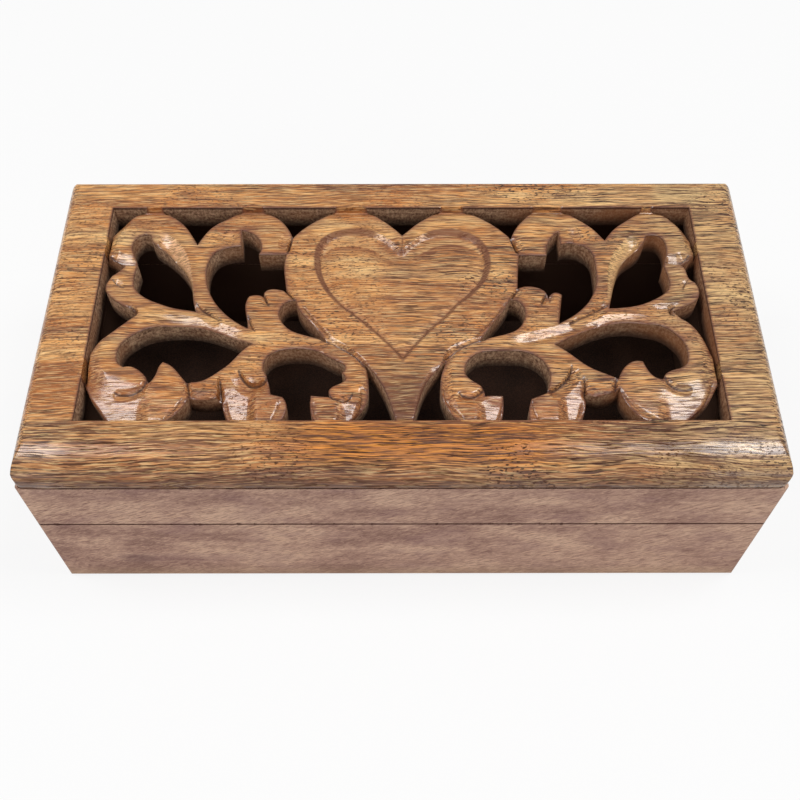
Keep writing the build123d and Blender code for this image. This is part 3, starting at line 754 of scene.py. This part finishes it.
def carved_board(node):
    """The lid's board: its cut-outs, carving, rounded rim, sawn edges and underside in one skin."""
    holes = [even_loop(loop, EDGE_PITCH) for loop in board_outlines(node)[1:]]
    edge_points = np.concatenate(holes)
    edge_tree = tree_of(edge_points)
    inner_ring = rim_ring(1.0, RIM_PITCH)
    spots, faces, became = flat_top(inner_ring, holes, edge_tree)

    gap, which = gaps_to(spots, edge_tree)
    rounding = np.where(on_opening(edge_points), BORDER_EDGE_ROUND, FRET_EDGE_ROUND)[which]
    bend = np.clip(1 - gap / rounding, 0, 1)
    height = -EDGE_FALL * rounding * (1 - np.sqrt(1 - bend**2 * EDGE_BEND))
    fret = in_opening(spots)
    carved = np.where(fret, carve(spots), 0)
    height = height + np.where(fret, carved - FRET_STEP, 0)
    top = np.column_stack([spots, BOARD_TOP + np.minimum(height, 0)])

    skin = Skin(top, faces)
    start = len(inner_ring)
    lowest = [skin.skirt([became[i] for i in range(start)], rim_levels(), VARNISHED)]
    for loop in holes:
        first = [became[i] for i in range(start, start + len(loop))]
        start += len(loop)
        high = top[first, 2]
        levels = [np.column_stack([loop, high + (BOARD_UNDER - high) * share]) for share in HOLE_DROPS]
        lowest.append(skin.skirt(first, levels, SAWN))
    skin.close(lowest, holes)

    mesh = skin.mesh("carved_lid_board")
    for name, values in board_marks(spots, gap, carved, fret).items():
        whole = np.zeros(skin.count)
        whole[:len(top)] = values
        mesh.attributes.new(name, "FLOAT", "POINT").data.foreach_set("value", whole)
    piece = bpy.data.objects.new("carved_lid_board", mesh)
    bpy.context.collection.objects.link(piece)
    return piece


board = carved_board(nodes["lid_carved_board"])
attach(board, "lid")
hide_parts("lid_carved_board")


# ---------------------------------------------------------------- finishes

def tone(r, g, b):
    """A colour given as red, green and blue from 0 to 255."""
    return tuple(c / 255 / 12.92 if c <= 10 else ((c / 255 + 0.055) / 1.055) ** 2.4 for c in (r, g, b))


class Mark:
    """A value that changes over a finish; sums of marks become the finish's nodes."""

    def __init__(self, finish, socket):
        self.finish = finish
        self.socket = socket

    def sum(self, operation, first, second):
        return self.finish.node("ShaderNodeMath", {"operation": operation}, {0: first, 1: second})

    def __add__(self, other):
        return self.sum("ADD", self, other)

    def __radd__(self, other):
        return self.sum("ADD", other, self)

    def __sub__(self, other):
        return self.sum("SUBTRACT", self, other)

    def __rsub__(self, other):
        return self.sum("SUBTRACT", other, self)

    def __mul__(self, other):
        return self.sum("MULTIPLY", self, other)

    def __rmul__(self, other):
        return self.sum("MULTIPLY", other, self)

    def __abs__(self):
        return self.finish.node("ShaderNodeMath", {"operation": "ABSOLUTE"}, {0: self})

    def between(self, low, high):
        """0 below low and 1 above high, with a soft change from one to the other."""
        settings = {"interpolation_type": "SMOOTHSTEP"}
        return self.finish.node("ShaderNodeMapRange", settings, {0: self, 1: low, 2: high})


class Finish:
    """One material of the box, built on the plain shader."""

    def __init__(self, name):
        self.material = bpy.data.materials.new(name)
        self.material.use_nodes = True
        self.tree = self.material.node_tree
        self.shader = self.tree.nodes["Principled BSDF"]
        self.object_place = None

    def node(self, kind, settings=None, values=None, out=0):
        made = self.tree.nodes.new(kind)
        for name, setting in (settings or {}).items():
            if name == "stops":
                while len(made.color_ramp.elements) < len(setting):
                    made.color_ramp.elements.new(0.5)
                for stop, (at, colour) in zip(made.color_ramp.elements, setting):
                    stop.position = at
                    stop.color = (*colour, 1.0)
            else:
                setattr(made, name, setting)
        for socket, value in (values or {}).items():
            self.put(made.inputs[socket], value)
        return Mark(self, made.outputs[out])

    def put(self, socket, value):
        if isinstance(value, Mark):
            self.tree.links.new(value.socket, socket)
        else:
            socket.default_value = value

    def set(self, **values):
        for name, value in values.items():
            self.put(self.shader.inputs[name.replace("_", " ").title()], value)

    def place(self):
        """Where a point is on the box, in millimetres."""
        if self.object_place is None:
            raw = self.node("ShaderNodeTexCoord", out=3)
            self.object_place = self.node("ShaderNodeVectorMath", {"operation": "SCALE"}, {0: raw, 3: 1 / MM})
        return self.object_place

    def axes(self, place):
        return [self.node("ShaderNodeSeparateXYZ", None, {0: place}, out=i) for i in range(3)]

    def at(self, x, y, z):
        return self.node("ShaderNodeCombineXYZ", None, {0: x, 1: y, 2: z})

    def grain(self, place, scale, detail=2.0, rough=0.5, bend=0.0):
        settings = {"noise_dimensions": "3D"}
        values = {"Vector": place, "Scale": scale, "Detail": detail, "Roughness": rough, "Distortion": bend}
        return self.node("ShaderNodeTexNoise", settings, values)

    def stretch(self, place, x, y, z):
        return self.node("ShaderNodeVectorMath", {"operation": "MULTIPLY"}, {0: place, 1: (x, y, z)})

    def ramp(self, factor, *stops):
        return self.node("ShaderNodeValToRGB", {"stops": stops}, {0: factor})

    def tint(self, factor, under, over, way="MIX"):
        under = under if isinstance(under, Mark) else (*under, 1.0)
        over = over if isinstance(over, Mark) else (*over, 1.0)
        settings = {"data_type": "RGBA", "blend_type": way}
        return self.node("ShaderNodeMix", settings, {0: factor, 6: under, 7: over}, out=2)

    def bump(self, height, strength, depth, under=None):
        values = {"Strength": strength, "Distance": depth, "Height": height}
        if under is not None:
            values["Normal"] = under
        return self.node("ShaderNodeBump", None, values)

    def mark(self, name):
        """One of the values that the board's points carry."""
        return self.node("ShaderNodeAttribute", {"attribute_name": name}, out=2)


# Where the board's wood changes, in millimetres along, across or up the box.
# Each pair is where a change starts and where it is complete.
FRONT_BORDER = (40.0, 47.0)
LOWER_SCROLLS = (12.0, 30.0)
ORANGE_LEFT = (-60.0, -16.0)
ORANGE_RIGHT = (34.0, 66.0)
ORANGE_UP = (76.5, 79.0)
SAPWOOD = (66.0, 104.0)
AMBER_STOPS = (84.0, 96.0)
TAIL_SIDES = (6.0, 14.0)
TAIL_DOWN = (16.0, 30.0)
LEFT_ARCHES = (-60.0, -50.0)
SPECKLED_MIDDLE = -24.0
SPECKLED_SIDES = (14.0, 24.0)
SPECKLED_FROM = (-16.0, -8.0)
SPECKLED_TO = (34.0, 42.0)
CRISPER = (-60.0, 60.0)
DULL_MIDDLE = -6.0
DULL_SIDES = (98.0, 108.0)
FRONT_ROUND_UP = (72.0, 79.6)
LOWER_EDGE_SHADE_UP = (70.5, 71.3)


def varnished_board():
    """Figured golden-brown wood with long dark pores, under a glossy varnish."""
    f = Finish("varnished_carved_wood")
    place = f.place()
    x, y, z = f.axes(place)
    sway = f.grain(f.stretch(place, 0.012, 0.03, 0.03), 1.0, 2.0) - 0.5
    ripple = f.grain(f.stretch(place, 0.075, 0.2, 0.2), 1.0, 2.0) - 0.5
    fibre = f.at(x, y + sway * 9.0 + ripple * 1.2, z + sway * 4.0)
    forward = y * -1.0

    bands = f.grain(f.stretch(fibre, 0.008, 0.13, 0.13), 1.0, 3.0, 0.55, 0.4)
    clouds = f.grain(f.stretch(place, 0.022, 0.045, 0.045), 1.0, 2.0, 0.5)
    base = f.ramp(bands * 0.65 + clouds * 0.35, (0.36, tone(146, 84, 38)), (0.45, tone(200, 130, 66)),
                  (0.55, tone(230, 166, 96)), (0.66, tone(248, 202, 136)))
    # warm orange heartwood in the middle of the front, paler sapwood at the right
    front = forward.between(*FRONT_BORDER)
    low = forward.between(*LOWER_SCROLLS) * (1.0 - front)
    middle = x.between(*ORANGE_LEFT) * (1.0 - x.between(*ORANGE_RIGHT))
    glow = f.grain(f.stretch(fibre, 0.03, 0.16, 0.16), 1.0, 3.0, 0.6).between(0.42, 0.62)
    base = f.tint(front * 0.4, base, tone(164, 112, 66))
    upper = z.between(*ORANGE_UP)
    base = f.tint(front * middle * (0.1 + upper * 0.7), base, tone(186, 106, 20))
    base = f.tint(front * middle * upper * glow * 0.8, base, tone(236, 144, 30))
    base = f.tint(x.between(*SAPWOOD) * 0.55, base, tone(200, 170, 120))
    patches = f.grain(f.stretch(place, 0.05, 0.07, 0.07), 1.0, 1.0).between(0.5, 0.66)
    amber = patches * 0.35 + low * (1.0 - x.between(*AMBER_STOPS)) * (1.0 - patches) * 0.4
    base = f.tint(amber, base, tone(196, 112, 34))
    # the heart's dark tail
    tail = (1.0 - abs(x).between(*TAIL_SIDES)) * forward.between(*TAIL_DOWN) * (1.0 - front)
    base = f.tint(tail * 0.85, base, tone(108, 58, 24))
    # painted highlight on the cut faces: pale inside the heart's top and on the right arch, pinkish on the
    # left arch
    band = f.mark("band")
    painted_highlight = (band * -1.0).between(0.0, 1.0)
    base = f.tint(painted_highlight * 0.6, base, tone(250, 206, 140))
    base = f.tint(painted_highlight * (1.0 - x.between(*LEFT_ARCHES)) * 0.75, base, tone(238, 168, 136))

    # streaks and pores: long ones, dashes, and dots where the grain dives into the board
    long_streaks = f.grain(f.stretch(fibre, 0.036, 1.6, 0.8), 1.0, 3.0, 0.6)
    dashes = f.grain(f.stretch(fibre, 0.1, 2.1, 1.0), 1.0, 2.0, 0.55)
    dots = f.grain(f.stretch(fibre, 0.7, 1.8, 1.0), 1.0, 1.5, 0.5)
    dive = f.grain(f.stretch(place, 0.03, 0.035, 0.035), 1.0, 1.0).between(0.5, 0.62)
    speckled = 1.0 - abs(x - SPECKLED_MIDDLE).between(*SPECKLED_SIDES)
    speckled = speckled * y.between(*SPECKLED_FROM) * (1.0 - y.between(*SPECKLED_TO))
    dive = dive + speckled * (1.0 - dive)
    long_mask = long_streaks.between(0.51, 0.57) * (1.0 - speckled * 0.6)
    dash_mask = dashes.between(0.54, 0.59)
    dot_mask = dots.between(0.56, 0.61)
    pores = dash_mask * (1.0 - dive) + dot_mask * dive
    busy = f.grain(f.stretch(place, 0.02, 0.06, 0.06), 1.0, 2.0).between(0.38, 0.58)
    crisp = 0.8 + x.between(*CRISPER) * 0.3 + front * 0.15
    blotch = f.grain(f.stretch(fibre, 0.045, 0.42, 0.3), 1.0, 3.0, 0.6)
    base = f.tint((1.0 - blotch.between(0.4, 0.5)) * 0.45, base, tone(138, 84, 50))
    colour = f.tint(long_mask * (0.55 + busy * 0.35) * crisp, base, tone(88, 46, 20))
    colour = f.tint(pores * (0.62 + busy * 0.28) * crisp, colour, tone(44, 22, 12))
    strands = f.grain(f.stretch(fibre, 0.018, 1.25, 0.9), 1.0, 3.0, 0.6).between(0.52, 0.57)
    colour = f.tint(strands * front * 0.75, colour, tone(84, 44, 20))
    fine = f.grain(f.stretch(fibre, 0.13, 3.4, 1.6), 1.0, 2.0, 0.6)
    colour = f.tint((1.0 - fine.between(0.38, 0.47)) * 0.65, colour, tone(78, 42, 18))
    bright = f.tint(front * middle * upper, tone(250, 208, 146), tone(240, 156, 50))
    colour = f.tint(fine.between(0.54, 0.62) * 0.55, colour, bright)

    # darker down the front's rounding, and painted shade along the board's lower edge
    colour = f.tint((1.0 - z.between(*FRONT_ROUND_UP)) * front * 0.6, colour, tone(96, 62, 46))
    lower_edge_shade = 1.0 - z.between(*LOWER_EDGE_SHADE_UP)
    colour = f.tint(lower_edge_shade * 0.6, colour, tone(84, 54, 42))

    # painted shade in the hollows, stain with painted shade on the edges and in the knife cuts, and stain,
    # painted shade and painted highlight round the heart's field and beside the arches
    hollow = f.mark("hollow")
    worn = f.mark("worn")
    crease = f.mark("crease")
    colour = f.tint(hollow * (1.0 - painted_highlight * 0.7) * 0.38, colour, tone(126, 66, 34))
    colour = f.tint(worn.between(0.05, 0.4) * 0.36, colour, tone(134, 78, 50))
    colour = f.tint(worn.between(0.45, 0.95) * 0.68, colour, tone(98, 54, 40))
    colour = f.tint(tail * 0.3, colour, tone(92, 48, 20))
    stain_and_shade = band.between(0.0, 1.0)
    colour = f.tint(painted_highlight * 0.22, colour, tone(250, 206, 140))
    colour = f.tint(stain_and_shade * 0.8, colour, tone(108, 64, 46))
    colour = f.tint(crease.between(0.25, 0.95) * 0.8, colour, tone(58, 30, 22))
    # the varnish, thin over pores and over the stain with its painted shade
    dull = front * (1.0 - abs(x - DULL_MIDDLE).between(*DULL_SIDES)) * 0.7
    rough = (0.3 + pores * 0.35 + long_mask * 0.1 + clouds * 0.08 + stain_and_shade * 0.4 + dull * 0.25
             + lower_edge_shade * 0.5)
    coat = 0.9 - pores * 0.7 - stain_and_shade * 0.8 - dull * 0.8 - lower_edge_shade - painted_highlight * 0.3
    f.set(base_color=colour, roughness=rough, coat_weight=coat, coat_roughness=0.19)
    relief = fine * 0.35 - pores * 1.0 - long_mask * 0.5
    f.set(normal=f.bump(relief, 0.5, 0.00018))
    return f.material


# Where the sawn edges turn redder to the right, darker at the top, and darker at the bottom with painted
# shade, in millimetres
REDDER_SAWN = (30.0, 90.0)
SAWN_SHADE_UP = (70.0, 75.8)
SAWN_TOP_UP = (78.5, 79.1)


def sawn_edge():
    """Bare, saw-marked wood inside the fretwork, with painted shade darkening it towards the bottom."""
    f = Finish("sawn_fretwork_edges")
    place = f.place()
    x, _, z = f.axes(place)
    saw = f.grain(f.stretch(place, 1.1, 1.1, 0.7), 1.0, 3.0, 0.7)
    fibre = f.grain(f.stretch(place, 0.25, 0.9, 0.9), 1.0, 3.0, 0.65)
    base = f.ramp(saw * 0.6 + fibre * 0.4, (0.38, tone(104, 72, 54)), (0.5, tone(170, 130, 100)),
                  (0.6, tone(214, 176, 140)))
    warm = f.grain(f.stretch(place, 0.04, 0.05, 0.05), 1.0, 1.0).between(0.45, 0.6)
    base = f.tint(warm * 0.35 + x.between(*REDDER_SAWN) * 0.35, base, tone(160, 98, 54))
    # painted shade deep in the cut-outs, darkest at the bottom
    base = f.tint((1.0 - z.between(*SAWN_SHADE_UP)) * 0.8, base, tone(34, 20, 14))
    base = f.tint(z.between(*SAWN_TOP_UP) * 0.8, base, tone(62, 30, 20))
    f.set(base_color=base, roughness=0.85, normal=f.bump(saw, 0.4, 0.0003))
    return f.material


# Places on the sides, in millimetres. Each pair is where a change starts and where it is complete.
SEAM_UP = 44.15
SEAM_STAIN = (0.25, 0.7)
FOOT_UP = (1.0, 10.0)
KNOT_ALONG = -96.0
KNOT_UP = 15.6
KNOT_FRONT = (60.0, 61.0)
INSIDE_X = (115.05, 115.2)
INSIDE_Y = (52.55, 52.7)
OUTER_X = (123.6, 124.3)
OUTER_Y = (61.1, 61.8)


def side_wood(name, along):
    """Matt pinkish-brown wood with curly slanting figure; painted shade darkens it inside the box."""
    f = Finish(name)
    place = f.place()
    x, y, z = f.axes(place)
    run, across = (x, y) if along == "x" else (y, x)
    sway = f.grain(f.stretch(place, 0.02, 0.02, 0.03), 1.0, 2.0) - 0.5
    bands = f.grain(f.at(run * 0.05, across * 0.5, z * 0.4 + run * 0.03 + sway * 3.0), 1.0, 4.0, 0.6, 0.6)
    lean = z * 0.5 + sway * 5.0
    curl_place = f.at((run + z * 0.9) * 0.3 + sway * 2.0, across * 0.3, (z - run * 0.45) * 0.9)
    curls = f.grain(curl_place, 1.0, 3.0, 0.6, 1.0)
    fan_place = f.at((run + z) * 0.14 + sway * 3.0, across * 0.4, (z * 0.9 - run * 0.55) * 1.9 + lean)
    fan = f.grain(fan_place, 1.0, 2.0, 0.6)
    clouds = f.grain(f.stretch(place, 0.03, 0.03, 0.07), 1.0, 2.0)
    base = f.ramp(bands * 0.15 + curls * 0.4 + clouds * 0.45, (0.4, tone(146, 112, 100)),
                  (0.47, tone(176, 140, 124)), (0.53, tone(196, 160, 140)), (0.61, tone(216, 180, 156)))
    here = clouds.between(0.44, 0.58)
    colour = f.tint(fan.between(0.52, 0.62) * (0.25 + here * 0.45), base, tone(218, 180, 152))
    colour = f.tint((1.0 - fan.between(0.38, 0.48)) * (0.25 + here * 0.4), colour, tone(116, 80, 72))
    mauve = f.grain(f.stretch(place, 0.05, 0.05, 0.09), 1.0, 2.0).between(0.5, 0.66)
    colour = f.tint(mauve * 0.25, colour, tone(136, 102, 104))
    # a faint knot at the front's left foot, and a paler foot all round
    off_x = x - KNOT_ALONG
    off_z = z - KNOT_UP
    knot = 1.0 - (off_x * off_x * 0.02 + off_z * off_z * 0.07).between(0.2, 1.6)
    knot = knot * (y * -1.0).between(*KNOT_FRONT)
    colour = f.tint(knot * 0.45, colour, tone(92, 62, 66))
    colour = f.tint((1.0 - z.between(*FOOT_UP)) * 0.35, colour, tone(188, 158, 126))
    # the seam's dark line outside, and painted shade inside the box
    within = (1.0 - abs(x).between(*INSIDE_X)) * (1.0 - abs(y).between(*INSIDE_Y))
    nicks = f.grain(f.stretch(place, 0.5, 0.5, 0.1), 1.0, 2.0).between(0.55, 0.72)
    seam = 1.0 - (abs(z - SEAM_UP) - nicks * 0.5).between(*SEAM_STAIN)
    outer = 1.0 - (1.0 - abs(x).between(*OUTER_X)) * (1.0 - abs(y).between(*OUTER_Y))
    colour = f.tint(seam * outer * 0.85, colour, tone(62, 28, 24))
    colour = f.tint(within, colour, tone(98, 72, 58))
    f.shader.inputs["Specular IOR Level"].default_value = 0.08
    f.set(base_color=colour, roughness=0.7 + curls * 0.15 + within * 0.3)
    f.set(normal=f.bump(curls * 0.5 + fan * 0.5, 0.3, 0.00025))
    return f.material


def lining_felt():
    """Dark brown felt with a short nap."""
    f = Finish("dark_lining_felt")
    place = f.place()
    nap = f.grain(place, 2.2, 3.0, 0.7)
    lay = f.grain(place, 0.06, 2.0)
    colour = f.ramp(nap * 0.7 + lay * 0.3, (0.35, tone(38, 23, 16)), (0.65, tone(84, 54, 38)))
    f.set(base_color=colour, roughness=0.95, normal=f.bump(nap, 0.6, 0.0004))
    return f.material


def metal_finish(name, bright, dull, rough):
    """Rubbed metal with dull stains."""
    f = Finish(name)
    place = f.place()
    rub = f.grain(f.stretch(place, 0.6, 0.6, 6.0), 1.0, 3.0, 0.6)
    stain = f.grain(place, 0.35, 3.0, 0.6)
    colour = f.ramp(stain, (0.35, dull), (0.6, bright))
    f.set(base_color=colour, metallic=1.0, roughness=rough + rub * 0.2, normal=f.bump(rub, 0.15, 0.00005))
    return f.material


board.data.materials.append(varnished_board())
board.data.materials.append(sawn_edge())
LONG_WOOD = side_wood("side_wood_long", "x")
SHORT_WOOD = side_wood("side_wood_short", "y")
FELT = lining_felt()
BRASS = metal_finish("hinge_brass", tone(196, 158, 84), tone(140, 104, 52), 0.28)
STEEL = metal_finish("pin_steel", tone(150, 150, 152), tone(96, 94, 92), 0.35)
# A part of a node's name, and the finish of such a node: the first that fits is taken
FINISH_OF = (
    ("felt", FELT),
    ("floor_pins", STEEL),
    ("hinge", BRASS),
    ("left_wall", SHORT_WOOD),
    ("right_wall", SHORT_WOOD),
    ("left_rail", SHORT_WOOD),
    ("right_rail", SHORT_WOOD),
    ("", LONG_WOOD),
)
for name, node in nodes.items():
    if name == "lid_carved_board":
        continue
    finish = next(made for part, made in FINISH_OF if part in name)
    for slot in node.material_slots:
        slot.material = finish


# ---------------------------------------------------------------- floor, light, camera

# In metres, watts and shares of full white
FLOOR_REACH = 20.0
FLOOR_GLOW = 0.84
WORLD_GLOW = 0.34
# Lamps: name, place, what it is aimed at, its two sides, watts
LAMPS = (
    ("softbox_right", (0.40, 0.02, 0.98), (0.03, 0, 0.05), (0.34, 0.42), 4.6),
    ("softbox_left", (-0.50, -0.02, 0.93), (-0.03, 0, 0.05), (0.32, 0.42), 3.6),
    ("front_fill", (0.0, -1.1, 0.7), (0, 0, 0.04), (1.4, 0.5), 3.0),
)
# The camera: where it looks and from how far, in millimetres, and its rise, turn, sensor and lens
CAMERA_TARGET = (-0.51, -9.47, 40.0)
CAMERA_DISTANCE = 392.8
CAMERA_RISE = math.radians(57.61)
CAMERA_TURN = math.radians(0.08)
CAMERA_SENSOR = 36.0
CAMERA_LENS = 47.3265


def stage_floor():
    """A white floor that looks evenly lit to the eye and in reflections."""
    mesh = bpy.data.meshes.new("studio_floor")
    corners = [(x * FLOOR_REACH, y * FLOOR_REACH, 0) for x, y in ((-1, -1), (1, -1), (1, 1), (-1, 1))]
    mesh.from_pydata(corners, [], [(0, 1, 2, 3)])
    floor = bpy.data.objects.new("studio_floor", mesh)
    bpy.context.collection.objects.link(floor)
    paper = Finish("pale_floor_paper")
    paper.set(base_color=(0.82, 0.82, 0.82, 1), roughness=0.9)
    kinds = ("Is Camera Ray", "Is Glossy Ray", "Is Transmission Ray")
    camera_ray, glossy_ray, through_ray = [paper.node("ShaderNodeLightPath", out=kind) for kind in kinds]
    seen = camera_ray + glossy_ray + through_ray
    glow = paper.node("ShaderNodeEmission", None, {"Strength": 1.0})
    lit = Mark(paper, paper.shader.outputs[0])
    mixed = paper.node("ShaderNodeMixShader", None, {0: seen * FLOOR_GLOW, 1: lit, 2: glow})
    paper.put(paper.tree.nodes["Material Output"].inputs["Surface"], mixed)
    floor.data.materials.append(paper.material)


def soft_light(name, place, aim, size, watts):
    lamp = bpy.data.lights.new(name, "AREA")
    lamp.shape = "RECTANGLE"
    lamp.size, lamp.size_y = size
    lamp.energy = watts
    holder = bpy.data.objects.new(name, lamp)
    holder.location = place
    holder.rotation_euler = (Vector(aim) - Vector(place)).to_track_quat("-Z", "Y").to_euler()
    bpy.context.collection.objects.link(holder)


def white_world():
    world = bpy.data.worlds.new("studio")
    world.use_nodes = True
    background = world.node_tree.nodes["Background"]
    background.inputs["Color"].default_value = (1, 1, 1, 1)
    background.inputs["Strength"].default_value = WORLD_GLOW
    bpy.context.scene.world = world


def front_camera():
    ahead = Vector((math.sin(CAMERA_TURN) * math.cos(CAMERA_RISE),
                    math.cos(CAMERA_TURN) * math.cos(CAMERA_RISE), -math.sin(CAMERA_RISE)))
    lens = bpy.data.cameras.new("camera")
    lens.sensor_width = CAMERA_SENSOR
    lens.lens = CAMERA_LENS
    camera = bpy.data.objects.new("camera", lens)
    camera.location = (Vector(CAMERA_TARGET) - ahead * CAMERA_DISTANCE) * MM
    camera.rotation_euler = ahead.to_track_quat("-Z", "Y").to_euler()
    bpy.context.collection.objects.link(camera)
    bpy.context.scene.camera = camera


stage_floor()
for lamp in LAMPS:
    soft_light(*lamp)
white_world()
front_camera()
bpy.context.scene.view_settings.view_transform = "Standard"
